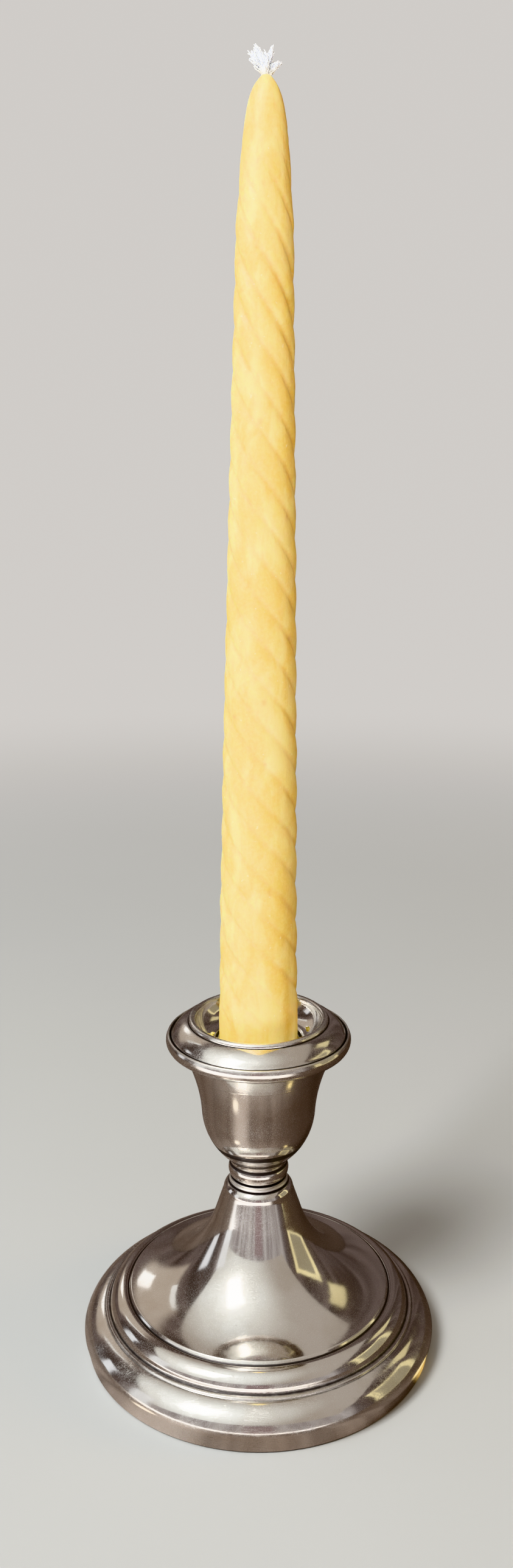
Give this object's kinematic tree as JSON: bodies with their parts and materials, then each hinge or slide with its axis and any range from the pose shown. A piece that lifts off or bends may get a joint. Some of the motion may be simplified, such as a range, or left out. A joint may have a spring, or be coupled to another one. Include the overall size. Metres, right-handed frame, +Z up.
{
  "type": "candlestick with candle",
  "caption": "Low weighted silver candlestick with a ringed round foot, trumpet stem, urn cup and lift-out nozzle, holding a left-hand twisted taper candle.",
  "frame": {"origin": "centre of the resting face, on the table plane under the felt", "axes": "+Z up along the common axis of foot, cup and candle; +Y away from the viewer; the piece is turned, so +X is any side"},
  "size_m": [0.1035, 0.1034, 0.3494],
  "materials": {
    "silver": "polished, lightly tarnished",
    "steel": "plain",
    "cement": "cast, rough",
    "felt": "pressed felt",
    "wax": "satin beeswax",
    "cotton": "braided cotton"
  },
  "bodies": {
    "stand": {"felt_pad": "felt", "base_plate": "steel", "weight_filler": "cement", "foot_shell": "silver", "foot_wire": "steel", "tie_rod": "steel", "lower_washer": "steel", "lower_nut": "steel", "neck_collar": "silver", "neck_knop": "silver", "cup_shell": "silver", "cup_lip": "silver", "upper_washer": "steel", "upper_nut": "steel"},
    "nozzle": {"nozzle_pan": "silver", "candle_tube": "silver", "tube_floor": "silver"},
    "candle": {"candle_wax": "wax", "wick": "cotton"}
  },
  "joints": [
    {"name": "nozzle_lift", "type": "slide", "parent": "stand", "child": "nozzle", "axis": [0, 0, 1], "range_m": [0, 0.06]},
    {"name": "candle_lift", "type": "slide", "parent": "nozzle", "child": "candle", "axis": [0, 0, 1], "range_m": [0, 0.06]}
  ]
}
